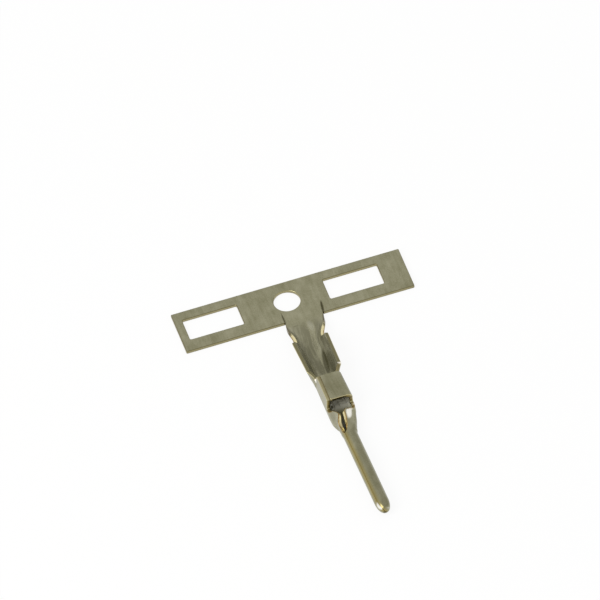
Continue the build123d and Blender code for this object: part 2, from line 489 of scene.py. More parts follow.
@dataclass(frozen=True)
class Corners:
    """Radii of the blank's corners, and how finely its outlines are divided.

    slit_share is the radius at a slit's end as a share of its width. The lip's points are counted
    for the funnel, the pin and the nose, and they keep clear of the cut and of the tip.
    """

    plain: float = 0.06
    neck: float = 0.3
    neck_end: float = 0.12
    wing: float = 0.1
    tip: float = 0.05
    slit_share: float = 0.45
    spacing: float = 0.05
    window_spacing: float = 0.1
    hole_points: int = 96
    lip_points: tuple[int, int, int] = (60, 90, 24)
    cut_clear: float = 0.1
    tip_clear: float = 0.07


@dataclass(frozen=True)
class Lattice:
    """Grids of points inside the outlines, and how far each keeps from the edge.

    A coarse grid covers the flat strip. A fine one covers the slits, from slit_rear on and
    slit_side past the tab, and lies a little apart from it. The others have rows across the blank
    and columns on both sides of its middle line. The edge is looked at in blocks.
    """

    coarse: float = 0.25
    coarse_margin: float = 0.12
    fine: float = 0.03
    fine_margin: float = 0.022
    nose_margin: float = 0.018
    slit_rear: float = 0.5
    slit_side: float = 0.3
    apart: float = 0.05
    slit_rows: int = 16
    bent_rows: int = 165
    pin_rows: int = 42
    nose_rows: int = 22
    bent_columns: int = 90
    pin_columns: int = 45
    blocks: int = 8


@dataclass
class FoldedContact:
    """Contact and strip as one sheet, drawn flat and then bent.

    Leans and turns are in degrees, a wing's outward from upright and the box's left wall's inward.
    The cut parts the box's flap from the leaves in front of it.
    """

    # The sheet, the radius of the box's folds at its middle, and the gaps where its edges meet.
    sheet: float = 0.20
    fold_radius: float = 0.20
    seam_gap: float = 0.004
    pin_gap: float = 0.004
    cut_width: float = 0.03
    tab_width: float = 2.14
    # Sideways places of the middle line, and the degrees that the pin is turned.
    tab_middle: float = 0.50
    barrel_middle: float = 0.19
    box_middle: float = 0.255
    pin_middle: float = 0.205
    pin_skew: float = 1.2
    # Open barrel: its floor, folds, leans and walls, down to the notch behind the box.
    barrel_floor: float = 0.30
    barrel_fold: float = 0.71
    wing_lean: float = 18.0
    wing_left_lean: float = 22.0
    wing_front_lean: float = 15.0
    wing_wall: float = 0.70
    notch_floor: float = 0.56
    notch_fold: float = 0.52
    notch_wall: float = 0.44
    low_wall: float = 0.56
    # Box: its outside, its left wall's lean, and how much wider it is in front.
    box_width: float = 1.44
    box_height: float = 1.22
    box_lean: float = 5.0
    box_flare: float = 0.08
    # Pin: its diameter, the degrees from its top round to its seam, and the hole at its tip.
    pin_size: float = 0.79
    pin_seam: float = 45.0
    tip_hole: float = 0.030
    # Channel: the leaves' bends, and how far it runs straight. Then cross-sections in a curve.
    leaf_bend: float = 0.12
    channel_straight: float = 0.90
    curve_keys: int = 25
    # Each row: how far it lies in front of the box, then for the left and the right how far the
    # wall stands in, its height, how far it leans in above its bend, and the leaf's length.
    channel: tuple[tuple[float, tuple[float, ...], tuple[float, ...]], ...] = (
        (0.00, (0.0, 0.05, 2.0, 0.08), (0.0, 0.08, 2.0, 0.10)),
        (0.18, (0.0, 0.05, 2.0, 0.08), (-0.01, 0.08, 2.0, 0.10)),
        (0.44, (0.0, 0.08, 40.0, 0.30), (0.015, 0.08, 20.0, 0.12)),
        (0.68, (0.01, 0.08, 40.0, 0.46), (0.08, 0.06, 45.0, 0.68)),
        (0.90, (0.025, 0.07, 38.0, 0.54), (0.135, 0.06, 44.0, 0.76)),
        (1.20, (0.127, 0.06, 20.0, 0.49), (0.19, 0.06, 43.0, 0.72)))
    # Each row: how far it lies in front of the box, then the pieces on the left and the right.
    throat: tuple[tuple[float, tuple[Piece, ...], tuple[Piece, ...]], ...] = (
        (1.55, ((0.12, 0.0), (0.38, 90.0), (0.10, 0.0), (0.12, 0.0), (0.23, 0.0)),
         ((0.20, 0.0), (0.346, 90.0), (0.05, 0.0), (0.20, 45.0), (0.53, 10.0))),
        (1.85, ((0.10, 0.0), (0.38, 95.0), (0.06, 4.0), (0.08, 8.0), (0.10, 4.0)),
         ((0.12, 0.0), (0.38, 90.0), (0.05, 0.0), (0.30, 70.0), (0.34, 15.0))))
    # Wear and painted light: the width of thin plating beside the pin's seam, how much of the cut's
    # middle no painted highlight or shade of one face reaches, where the strip's dark upper rim
    # starts and is full, and how dark it is.
    seam_wear: float = 0.16
    flank: float = 0.08
    rim: tuple[float, float] = (0.05, 0.08)
    rim_dark: float = 0.6
    # Radius of the cut edge in the slits, and how far outside the tab they lie.
    slit_round: float = 0.012
    slit_reach: float = 0.15
    strip: StripSizes = StripSizes()
    at: Places = Places()
    corners: Corners = Corners()
    grid: Lattice = Lattice()

    def __post_init__(self) -> None:
        """Work out the sheet lengths that follow from the sizes, and the stretches."""
        self.half = self.sheet / 2
        self.roll = (self.pin_size - self.sheet) / 2
        self.stretches = [self.tab(), self.neck(), self.barrel(), self.box(), self.funnel(),
                          self.pin(), self.nose()]

    def key(self, u: float, across: float, left: list[Piece], right: list[Piece]) -> Key:
        """Key whose sheet lies on the floor at u."""
        return Key(u, u, across, self.half, tuple(left), tuple(right))

    def barrel_side(self, turn: float, wall: float) -> list[Piece]:
        """Half of the open barrel: floor, lower fold and wall."""
        return [(self.barrel_floor / 2, 0.0), (self.barrel_fold, turn), (wall, 0.0)]

    def box_side(self, flare: float, lean: float, *rest: Piece) -> list[Piece]:
        """Half of the box.

        Args:
            flare: how much wider than the box this half is.
            lean: degrees by which its wall leans in.
            rest: pieces above the lower fold.

        Returns:
            Floor, lower fold, and what stands on that.
        """
        floor = self.box_width / 2 - self.half - self.fold_radius + flare
        fold = self.fold_radius * radians(90 + lean)
        return [(floor, 0.0), (fold, 90 + lean), *rest]

    def tab(self) -> Stretch:
        """The flat strip and tab.

        Returns:
            Its stretch.
        """
        flat = [(1.0, 0.0)]
        return Stretch((self.key(-self.strip.back, self.tab_middle, flat, flat),
                        self.key(self.at.strip_front, self.tab_middle, flat, flat)), Carry.EVEN)

    def neck(self) -> Stretch:
        """The tab curls up into the barrel and runs over to its middle line.

        With q the share of the way, the curl is 3q^2 - 2q^3 of the barrel's.

        Returns:
            Its stretch.
        """
        wall = self.tab_width / 2 - self.barrel_floor / 2 - self.barrel_fold
        keys = []
        for share in np.linspace(0, 1, self.curve_keys):
            curl = share * share * (3 - 2 * share)
            left = self.barrel_side(curl * (90 - self.wing_left_lean), wall)
            right = self.barrel_side(curl * (90 - self.wing_lean), wall)
            u = self.at.strip_front + share * (self.at.neck_end - self.at.strip_front)
            across = self.tab_middle + share * (self.barrel_middle - self.tab_middle)
            keys.append(self.key(u, across, left, right))
        return Stretch(tuple(keys), Carry.EVEN)

    def barrel(self) -> Stretch:
        """The wings rise, run level and fall away to the notch behind the box.

        Returns:
            Its stretch.
        """
        at, middle = self.at, self.barrel_middle
        neck_wall = self.tab_width / 2 - self.barrel_floor / 2 - self.barrel_fold
        left_turn, right_turn = 90 - self.wing_left_lean, 90 - self.wing_lean
        wing_right = self.barrel_side(right_turn, self.wing_wall)
        notch_wall, low = (self.notch_wall, 0.0), (self.low_wall, 0.0)
        notch_floor = (self.notch_floor / 2, 0.0)
        return Stretch((
            self.key(at.neck_end, middle, self.barrel_side(left_turn, neck_wall),
                     self.barrel_side(right_turn, neck_wall)),
            self.key(at.wing_rear, middle, self.barrel_side(left_turn, self.wing_wall), wing_right),
            self.key(at.wing_front, middle,
                     self.barrel_side(90 - self.wing_front_lean, self.wing_wall), wing_right),
            self.key(at.notch, middle,
                     [notch_floor, (self.notch_fold, 90 + self.box_lean), notch_wall],
                     [notch_floor, (self.notch_fold, 90.0), notch_wall]),
            self.key(at.box_rear, self.box_middle, self.box_side(0, self.box_lean, low),
                     self.box_side(0, 0, low))), Carry.EVEN)

    def box(self) -> Stretch:
        """The right wall folds over the top, and its edge meets the left wall.

        Returns:
            Its stretch.
        """
        at, middle, lean = self.at, self.box_middle, radians(self.box_lean)
        rise = self.fold_radius * (1 + sin(lean)) + self.half * sin(lean)
        left_wall = (self.box_height - self.half - rise) / cos(lean)
        right_wall = self.box_height - self.sheet - 2 * self.fold_radius
        floor = self.box_width / 2 - self.half - self.fold_radius
        flap = floor + self.box_width / 2 - self.sheet - self.seam_gap - left_wall * sin(lean)
        fold = (self.fold_radius * pi / 2, 90.0)
        left = self.box_side(0, self.box_lean, (left_wall, 0.0))
        rear = self.box_side(0, 0, (right_wall, 0.0), fold, (flap, 0.0))
        front = self.box_side(self.box_flare, 0, (right_wall, 0.0), fold,
                              (flap + self.box_flare, 0.0))
        return Stretch((self.key(at.box_rear, middle, left, rear),
                        self.key(at.box_front, middle, left, front),
                        self.key(at.box_front + self.cut_width, middle, left, front)), Carry.EVEN)

    def rolled(self, radius: float) -> tuple[tuple[Piece, ...], tuple[Piece, ...]]:
        """Both halves rolled up, each piece of the throat with its share of the turn.

        Args:
            radius: from the roll's middle to the middle of the sheet.

        Returns:
            The pieces on the left and on the right.
        """
        gap = degrees(self.pin_gap / 2 / self.roll)
        halves = []
        for pieces, turn in ((self.throat[-1][1], 180 - self.pin_seam - gap),
                             (self.throat[-1][2], 180 + self.pin_seam - gap)):
            whole = sum(length for length, _ in pieces)
            halves.append(tuple((radius * radians(turn) * length / whole, turn * length / whole)
                                for length, _ in pieces))
        return halves[0], halves[1]

    def channel_side(self, stands_in: float, wall: float, lean: float, leaf: float,
                     flare: float) -> list[Piece]:
        """Half of the channel in front of the box: floor, fold, wall, bend inward, and leaf."""
        return self.box_side(flare - stands_in, 0, (wall, 0.0), (self.leaf_bend, lean), (leaf, 0.0))

    def middle_at(self, ahead: float) -> float:
        """Sideways place of the middle line in front of the box.

        Args:
            ahead: distance from the front of the box.

        Returns:
            The place, which moves from the box's middle to the pin's.
        """
        length = self.at.pin_rear - self.at.box_front
        share = max(0.0, (ahead - self.channel_straight) / (length - self.channel_straight))
        return self.box_middle + share * (self.pin_middle - self.box_middle)

    def funnel(self) -> Stretch:
        """The walls are low in front of the box, lean together in two leaves and roll up.

        Returns:
            Its stretch.
        """
        keys = []
        for ahead, left, right in self.channel:
            u = self.at.box_front + (ahead or self.cut_width)
            keys.append(self.key(u, self.middle_at(ahead), self.channel_side(*left, 0.0),
                                 self.channel_side(*right, self.box_flare)))
        for ahead, left, right in self.throat:
            keys.append(self.key(self.at.box_front + ahead, self.middle_at(ahead), left, right))
        keys.append(self.key(self.at.pin_rear, self.pin_middle, *self.rolled(self.roll)))
        return Stretch(tuple(keys), Carry.FLOWING)

    def pin_across(self, x: float) -> float:
        """Sideways place of the pin's axis at x."""
        return self.pin_middle + (x - self.at.pin_rear) * sin(radians(self.pin_skew))

    def pin(self) -> Stretch:
        """The rolled pin."""
        return Stretch(tuple(self.key(u, self.pin_across(u), *self.rolled(self.roll))
                             for u in (self.at.pin_rear, self.at.nose_rear)), Carry.EVEN)

    def nose(self) -> Stretch:
        """The pin's end, pressed nearly shut.

        The middle of the sheet is a quarter of an ellipse: x = l sin(a) and radius =
        h + (r - h) cos(a), with l the nose's length, h the hole's radius and r the pin's.

        Returns:
            Its stretch.
        """
        at = self.at
        length = at.nose_front - at.nose_rear - self.half
        keys = []
        for share in np.linspace(0, 1, self.curve_keys):
            angle = share * pi / 2
            radius = self.tip_hole + (self.roll - self.tip_hole) * cos(angle)
            x = at.nose_rear + length * sin(angle)
            keys.append(Key(at.nose_rear + share * (at.nose_front - at.nose_rear), x,
                            self.pin_across(x), self.half + self.roll - radius,
                            *self.rolled(radius)))
        return Stretch(tuple(keys), Carry.EVEN)

    def part_of(self, u: Array) -> Array:
        """Number of the stretch that each place belongs to.

        The box and the funnel start a hair early, so that corners at their first key are theirs.

        Args:
            u: places along the blank.

        Returns:
            One number a place.
        """
        at = self.at
        ends = np.array([at.strip_front, at.neck_end, at.box_rear - HAIR,
                         at.box_front + self.cut_width - HAIR, at.pin_rear, at.nose_rear])
        return np.searchsorted(ends, u, side="right")

    def bend(self, u: Array, s: Array, part: Array) -> Array:
        """Middle of the bent sheet, each point by the stretch that it belongs to.

        Args:
            u, s: places on the blank.
            part: number of each place's stretch.

        Returns:
            One point a row.
        """
        out = np.zeros((len(u), 3))
        for number, stretch in enumerate(self.stretches):
            here = part == number
            out[here] = stretch.bend(u[here], s[here])
        return out

    def surface(self, u: Array, s: Array, part: Array) -> tuple[Array, Array, Array]:
        """Middle of the bent sheet with its slopes, by differences over a micron each way.

        Args:
            u, s: places on the blank.
            part: number of each place's stretch.

        Returns:
            Points, and their slopes along u and along s, one a row.
        """
        step = 0.001
        middle = self.bend(u, s, part)
        along_u = (self.bend(u + step, s, part) - self.bend(u - step, s, part)) / (2 * step)
        along_s = (self.bend(u, s + step, part) - self.bend(u, s - step, part)) / (2 * step)
        return middle, along_u, along_s

    def side_corners(self, side: int) -> list[tuple[float, float, float]]:
        """Corners of one side of the blank, from the strip's rear edge to the cut at the box.

        Args:
            side: 1 for the right and -1 for the left.

        Returns:
            Place and radius of each corner.
        """
        at, strip, plain, wing = self.at, self.strip, self.corners.plain, self.corners.wing
        slope = radians(strip.right_slope if side > 0 else strip.left_slope)
        along = np.array([cos(slope), -sin(slope)]) * strip.slit_depth
        across = np.array([sin(slope), cos(slope)]) * side * strip.slit_width / 2
        mouth = np.array([at.strip_front, side * (self.tab_width + strip.slit_width) / 2])
        slit_end = self.corners.slit_share * strip.slit_width
        barrel, box, funnel = self.stretches[2:5]

        def at_lip(stretch: Stretch, u: float, radius: float) -> tuple[float, float, float]:
            """Corner on the lip at u."""
            return u, side * float(stretch.lip(np.array([u]), side)[0]), radius

        end = (strip.right if side > 0 else -strip.left) - self.tab_middle
        cut = at_lip(funnel, at.box_front + self.cut_width, plain)
        return [(-strip.back, end, plain), (at.strip_front, end, plain),
                (at.strip_front, (mouth + across)[1], plain),
                (*(mouth + across - along), slit_end), (*(mouth - across - along), slit_end),
                (at.strip_front, side * self.tab_width / 2, self.corners.neck),
                at_lip(barrel, at.neck_end, self.corners.neck_end),
                at_lip(barrel, at.wing_rear, wing), at_lip(barrel, at.wing_front, wing),
                at_lip(barrel, at.notch, plain), at_lip(barrel, at.box_rear, plain),
                at_lip(box, at.box_rear, plain), at_lip(box, at.box_front, plain),
                (at.box_front, *cut[1:])]

    def lip_line(self, side: int) -> Array:
        """Lip of the leaf and the pin from just in front of the cut to the tip.

        Args:
            side: 1 for the right and -1 for the left.

        Returns:
            Place and radius of each corner, with only the one at the tip rounded.
        """
        parts = []
        for stretch, count in zip(self.stretches[4:], self.corners.lip_points):
            places = np.linspace(stretch.keys[0].u, stretch.keys[-1].u, count + 1)[1:]
            parts.append(np.column_stack([places, side * stretch.lip(places, side),
                                          np.zeros(len(places))]))
        line = np.vstack(parts)
        past_cut = line[:, 0] > self.at.box_front + self.cut_width + self.corners.cut_clear
        short_of_tip = line[:, 0] < self.at.nose_front - self.corners.tip_clear
        line[-1, 2] = self.corners.tip
        return np.vstack([line[past_cut & short_of_tip], line[-1:]])

    def blank(self) -> list[Array]:
        """Outlines of the flat blank: the outer one, the pilot hole and the windows.

        Returns:
            Closed outlines with the sheet on their left.
        """
        strip, corners = self.strip, self.corners
        left, right = (np.vstack([self.side_corners(side), self.lip_line(side)])
                       for side in (-1, 1))
        outer = round_corners(np.vstack([left, right[::-1]]), corners.spacing)
        angles = np.linspace(0, -2 * pi, corners.hole_points, endpoint=False)
        hole = strip.pilot_bore / 2 * np.column_stack([np.cos(angles), np.sin(angles)])
        hole[:, 1] -= self.tab_middle
        outlines = [outer, hole]
        for way in (-1, 1):
            middle = strip.window_middle + way * strip.window_pitch / 2 - self.tab_middle
            w, h = strip.window_width / 2, strip.window_length / 2
            window = np.array([(-w, -h, 0), (-w, h, 0), (w, h, 0), (w, -h, 0)])
            window += (strip.window_shift, middle, strip.window_corner)
            outlines.append(round_corners(window, corners.window_spacing))
        return outlines

    def lattice(self, edge: Array, loops: list[Array]) -> Array:
        """Points inside the outlines, closer together where the sheet is bent and at the slits.

        Args:
            edge: inner edge of the rounding, one point a row.
            loops: numbers of each outline's points, the outer one first.

        Returns:
            Points at least a set distance inside that edge, one a row.
        """
        at, strip, grid = self.at, self.strip, self.grid
        reach = self.tab_width / 2 + grid.slit_side
        wide, narrow = (np.arange(-count, count + 1) * grid.fine
                        for count in (grid.bent_columns, grid.pin_columns))
        grids = ((np.arange(-strip.back, at.strip_front, grid.coarse),
                  np.arange(-strip.left - self.tab_middle, strip.right, grid.coarse),
                  grid.coarse_margin),
                 (np.linspace(grid.slit_rear, at.strip_front, grid.slit_rows)[:-1],
                  np.arange(-reach, reach, grid.fine), grid.fine_margin),
                 (np.linspace(at.strip_front, at.pin_rear, grid.bent_rows), wide, grid.fine_margin),
                 (np.linspace(at.pin_rear, at.nose_rear, grid.pin_rows)[1:], narrow,
                  grid.fine_margin),
                 (np.linspace(at.nose_rear, at.nose_front, grid.nose_rows)[1:], narrow,
                  grid.nose_margin))
        kept = []
        for us, ss, margin in grids:
            points = np.stack(np.meshgrid(us, ss, indexing="ij"), axis=-1).reshape(-1, 2)
            if margin == grid.coarse_margin:
                points = points[(points[:, 0] < grid.slit_rear - grid.apart)
                                | (np.abs(points[:, 1]) > reach + grid.apart)]
            inside = within(points, edge[loops[0]])
            for loop in loops[1:]:
                inside &= ~within(points, edge[loop])
            points = points[inside]
            for block in np.array_split(edge, grid.blocks):
                gap = np.linalg.norm(points[:, None, :] - block[None, :, :], axis=2).min(axis=1)
                points = points[gap > margin]
            kept.append(points)
        return np.vstack(kept)

    def highlight_and_shade(self, u: Array, s: Array, t: Array, on_cut: Array) -> Array:
        """Shares of painted highlight and of painted shade at each point.

        Each is that of the strongest mark there. The upper rim of the strip is dark all round.

        Args:
            u, s, t: places on the blank.
            on_cut: whether the point is on the cut edge.

        Returns:
            Shares of painted highlight and of painted shade, and 0, one point a row.
        """
        side = np.where(on_cut & (np.abs(t) < self.flank), 0.0, t)
        bright, dark = (np.max([mark.on(u, s, side) for mark in highlight_and_shade], axis=0)
                        for highlight_and_shade in (PAINTED_HIGHLIGHTS, PAINTED_SHADE))
        on_strip = on_cut & (u <= self.at.strip_front) & (np.abs(s) > self.tab_width / 2)
        dark = np.maximum(dark, on_strip * np.interp(t, self.rim, (0.0, self.rim_dark)))
        return np.column_stack([bright, dark, np.zeros(len(u))])

    def wear_and_painted_light(self, u: Array, s: Array, t: Array, part: Array, on_cut: Array) -> Array:
        """How the sheet is worn at each point, and where light is painted on it.

        Args:
            u, s, t: places on the blank.
            part: number of each point's stretch.
            on_cut: whether the point is on the cut edge.

        Returns:
            Shares of bare brass, of matte tin and of pale tin, whose paleness is painted light,
            one point a row.
        """
        reach = np.full(len(u), 1.0)
        for number, stretch in enumerate(self.stretches[4:], start=4):
            here = part == number
            side = np.where(s[here] < 0, stretch.lip(u[here], -1), stretch.lip(u[here], 1))
            reach[here] = side - np.abs(s[here])
        seam = np.clip(1 - reach / self.seam_wear, 0, 1) * np.interp(u, *THIN_SEAM)
        bare = np.where(s < 0, np.interp(u, *BARE_LEFT), np.interp(u, *BARE_RIGHT))
        brass = np.where(on_cut, bare, seam)
        inner = t > 0
        fold = (self.barrel_floor, self.barrel_floor + self.barrel_fold)
        wall = np.interp(np.abs(s), fold, (0, 1))
        # Pale tin is painted light on the barrel's walls and inside the box, and a painted
        # reflection on the left wall's outside.
        pale = np.where(inner, wall * np.interp(u, *PAINTED_LIGHT_WALLS) + np.interp(u, *PAINTED_LIGHT_INSIDE),
                        (s < -self.box_width / 2) * np.interp(u, *PAINTED_REFLECTION_OUTSIDE))
        return np.column_stack([brass, inner * np.interp(u, *MATTE_INSIDE), pale])

    def build(self) -> bpy.types.Object:
        """Mesh the blank, round its cut edges and bend it.

        Each outline carries a profile: from the top face, set in by r, a quarter arc of radius r,
        the cut wall, and a quarter arc to the bottom face. Both faces have the same triangles,
        over a lattice of points inside the outlines. A point at t lies t from the middle of the
        bent sheet, along its normal.

        Returns:
            The finished piece.
        """
        outlines = self.blank()
        line = np.vstack(outlines)
        count = len(line)
        loops = np.split(np.arange(count), np.cumsum([len(outline) for outline in outlines])[:-1])
        after = np.concatenate([np.roll(loop, -1) for loop in loops])
        before = np.concatenate([np.roll(loop, 1) for loop in loops])
        tangent = line[after] - line[before]
        tangent /= np.linalg.norm(tangent, axis=1)[:, None]
        outward = np.column_stack([tangent[:, 1], -tangent[:, 0]])

        inset, sink, face, lean = edge_profile()
        layers = len(inset)
        in_slit = ((np.abs(line[:, 1]) < self.tab_width / 2 + self.slit_reach)
                   & (line[:, 0] > self.at.strip_front - self.strip.slit_depth)
                   & (line[:, 0] < self.at.strip_front))
        r = np.where(in_slit, self.slit_round, np.interp(line[:, 0], *EDGE_ROUND))
        rim = line[:, None, :] - outward[:, None, :] * (r[:, None] * inset)[:, :, None]
        depth = self.half * face[:, None] - sink[:, None] * r
        lattice = self.lattice(rim[:, 0], loops)
        triangles = fill(np.vstack([rim[:, 0], lattice]), loops)

        flat = np.vstack([rim.transpose(1, 0, 2).reshape(-1, 2), lattice, lattice])
        u, s = flat[:, 0], flat[:, 1]
        t = np.concatenate([depth.ravel(), np.full(len(lattice), self.half),
                            np.full(len(lattice), -self.half)])
        tilt = np.concatenate([np.repeat(lean, count), np.zeros(len(lattice)),
                               np.full(len(lattice), pi)])
        way = np.vstack([np.tile(tangent, (layers, 1)), np.tile([1.0, 0.0], (2 * len(lattice), 1))])
        part = self.part_of(u)
        middle, along_u, along_s = self.surface(u, s, part)
        normal = np.cross(along_u, along_s)
        normal /= np.linalg.norm(normal, axis=1)[:, None]
        out = np.cross(along_u * way[:, :1] + along_s * way[:, 1:], normal)
        out /= np.linalg.norm(out, axis=1)[:, None]
        shade = out * np.sin(tilt)[:, None] + normal * np.cos(tilt)[:, None]

        this, inner = np.arange(count), np.arange(len(lattice))
        top = np.concatenate([this, layers * count + inner])[triangles]
        bottom = np.concatenate([(layers - 1) * count + this,
                                 layers * count + len(lattice) + inner])[triangles[:, ::-1]]
        quads = np.vstack([np.column_stack([this + k * count, this + (k + 1) * count,
                                            after + (k + 1) * count, after + k * count])
                           for k in range(layers - 1)])
        band = np.repeat(np.arange(layers - 1), count)
        sheared = (band >= 1) & (band <= layers - 3)
        slots = np.concatenate([np.zeros(len(top) + len(bottom), int), sheared.astype(int)])
        on_cut = np.zeros(len(u), bool)
        on_cut[count:(layers - 1) * count] = True
        return add_piece("contact_sheet", (middle + normal * t[:, None]) * MM,
                         [*top.tolist(), *bottom.tolist(), *quads.tolist()], slots, shade,
                         {"blank": np.column_stack([u, s, t]) * MM,
                          "wear_and_painted_light": self.wear_and_painted_light(u, s, t, part, on_cut),
                          "highlight_and_shade": self.highlight_and_shade(u, s, t, on_cut)})


def begin_finish(name: str) -> tuple[bpy.types.Material, bpy.types.NodeSocket,
                                     bpy.types.bpy_prop_collection,
                                     bpy.types.bpy_prop_collection]:
    """Start a material of the sheet with what each point of the sheet carries.

    Args:
        name: name of the material.

    Returns:
        The material, the socket for a point's place on the blank, and the three sockets each for
        its wear with its painted light, and for its painted highlight and shade.
    """
    made = bpy.data.materials.new(name)
    made.use_nodes = True
    place, wear_and_painted_light, highlight_and_shade = (
        add_node(made.node_tree, "ShaderNodeAttribute", {"attribute_name": label}).outputs["Vector"]
        for label in ("blank", "wear_and_painted_light", "highlight_and_shade"))
    wear_and_painted_light, highlight_and_shade = (add_node(made.node_tree, "ShaderNodeSeparateXYZ", None, {0: source}).outputs
                   for source in (wear_and_painted_light, highlight_and_shade))
    return made, place, wear_and_painted_light, highlight_and_shade


@dataclass(frozen=True)
class DullTin:
    """Tin plating on brass strip: grey with a yellow cast, satin, faintly streaked and mottled.

    The clouds are the unevenness of the plating, the streaks the traces of the rolls and of the
    press, which run along the contact, and the grain its crystals, drawn coarser than the real
    ones so that they show. Its pale places are painted light, its brightest spots painted
    highlights, and its darkest colour deepens the streaks inside and paints shade. Lengths are in
    millimetres, and each range is of a noise's values.
    """

    light: str = "#A8A58A"
    dark: str = "#8B886B"
    # The next colour deepens the streaks inside and paints shade.
    dark_tone_and_shade: str = "#5A573E"
    thin: str = "#A2945A"
    # Pale paints light on the inner walls and inside the box, and a reflection on the left wall's
    # outside; the next colour paints the highlights.
    pale: str = "#DAD8CA"
    burnished: str = "#F6F4EA"
    matte_share: float = 0.9
    streak_length: float = 1.6
    streak_width: float = 0.20
    cloud: float = 0.8
    grain: float = 0.09
    wave: float = 0.001
    smooth: float = 0.20
    rough: float = 0.36
    streak_share: float = 0.45
    grain_share: float = 0.22
    shade_range: tuple[float, float] = (0.36, 0.64)
    gloss_range: tuple[float, float] = (0.3, 0.7)
    drawn_range: tuple[float, float] = (0.44, 0.60)
    drawn_most: float = 1.2

    def material(self) -> bpy.types.Material:
        """Build the plating's material.

        Returns:
            The material.
        """
        made, place, wear_and_painted_light, highlight_and_shade = begin_finish("dull_tin_plating")
        tree = made.node_tree
        shader = tree.nodes["Principled BSDF"]
        squeeze = (self.streak_width / self.streak_length, 1, 1)
        long = add_node(tree, "ShaderNodeVectorMath", {"operation": "MULTIPLY", 1: squeeze},
                        {0: place})
        cloud = add_node(tree, "ShaderNodeTexNoise",
                         {"Scale": 1 / (self.cloud * MM), "Detail": 5.0, "Roughness": 0.6},
                         {"Vector": place})
        streak = add_node(tree, "ShaderNodeTexNoise",
                          {"Scale": 1 / (self.streak_width * MM), "Detail": 3.0},
                          {"Vector": long.outputs[0]})
        grain = add_node(tree, "ShaderNodeTexNoise",
                         {"Scale": 1 / (self.grain * MM), "Detail": 2.0}, {"Vector": place})
        both = add_node(tree, "ShaderNodeMix", {"data_type": "FLOAT", 0: self.streak_share},
                        {2: cloud.outputs[0], 3: streak.outputs[0]})
        all_three = add_node(tree, "ShaderNodeMix", {"data_type": "FLOAT", 0: self.grain_share},
                             {2: both.outputs[0], 3: grain.outputs[0]})
        share = add_node(tree, "ShaderNodeMapRange",
                         {"From Min": self.shade_range[0], "From Max": self.shade_range[1]},
                         {"Value": all_three.outputs[0]})
        gloss = add_node(tree, "ShaderNodeMapRange",
                         {"From Min": self.gloss_range[0], "From Max": self.gloss_range[1],
                          "To Min": self.smooth, "To Max": self.rough},
                         {"Value": all_three.outputs[0]})
        waves = add_node(tree, "ShaderNodeBump", {"Strength": 1.0, "Distance": self.wave * MM},
                         {"Height": both.outputs[0]})
        drawn = add_node(tree, "ShaderNodeMapRange",
                         {"From Min": self.drawn_range[0], "From Max": self.drawn_range[1],
                          "To Max": self.drawn_most}, {"Value": streak.outputs[0]})
        smudged = add_node(tree, "ShaderNodeMath", {"operation": "MULTIPLY"},
                           {0: drawn.outputs[0], 1: wear_and_painted_light[1]})
        # Painted shade joins the dark streaks here.
        streaks_and_shade = add_node(tree, "ShaderNodeMath", {"operation": "MAXIMUM"},
                         {0: smudged.outputs[0], 1: highlight_and_shade[1]})
        colour = add_node(tree, "ShaderNodeMix",
                          {"data_type": "RGBA", 6: hex_to_linear(self.dark),
                           7: hex_to_linear(self.light)}, {0: share.outputs[0]})
        # Over the tone go the seam's thin plating, painted light, the streaks with painted shade,
        # and painted highlights.
        for code, amount in ((self.thin, wear_and_painted_light[0]), (self.pale, wear_and_painted_light[2]),
                             (self.dark_tone_and_shade, streaks_and_shade.outputs[0]), (self.burnished, highlight_and_shade[0])):
            colour = add_node(tree, "ShaderNodeMix", {"data_type": "RGBA", 7: hex_to_linear(code)},
                              {0: amount, 6: colour.outputs[2]})
        metal = add_node(tree, "ShaderNodeMath",
                         {"operation": "MULTIPLY_ADD", 1: -self.matte_share, 2: 1.0},
                         {0: wear_and_painted_light[1]})
        tree.links.new(colour.outputs[2], shader.inputs["Base Color"])
        tree.links.new(metal.outputs[0], shader.inputs["Metallic"])
        tree.links.new(gloss.outputs[0], shader.inputs["Roughness"])
        tree.links.new(waves.outputs[0], shader.inputs["Normal"])
        return made


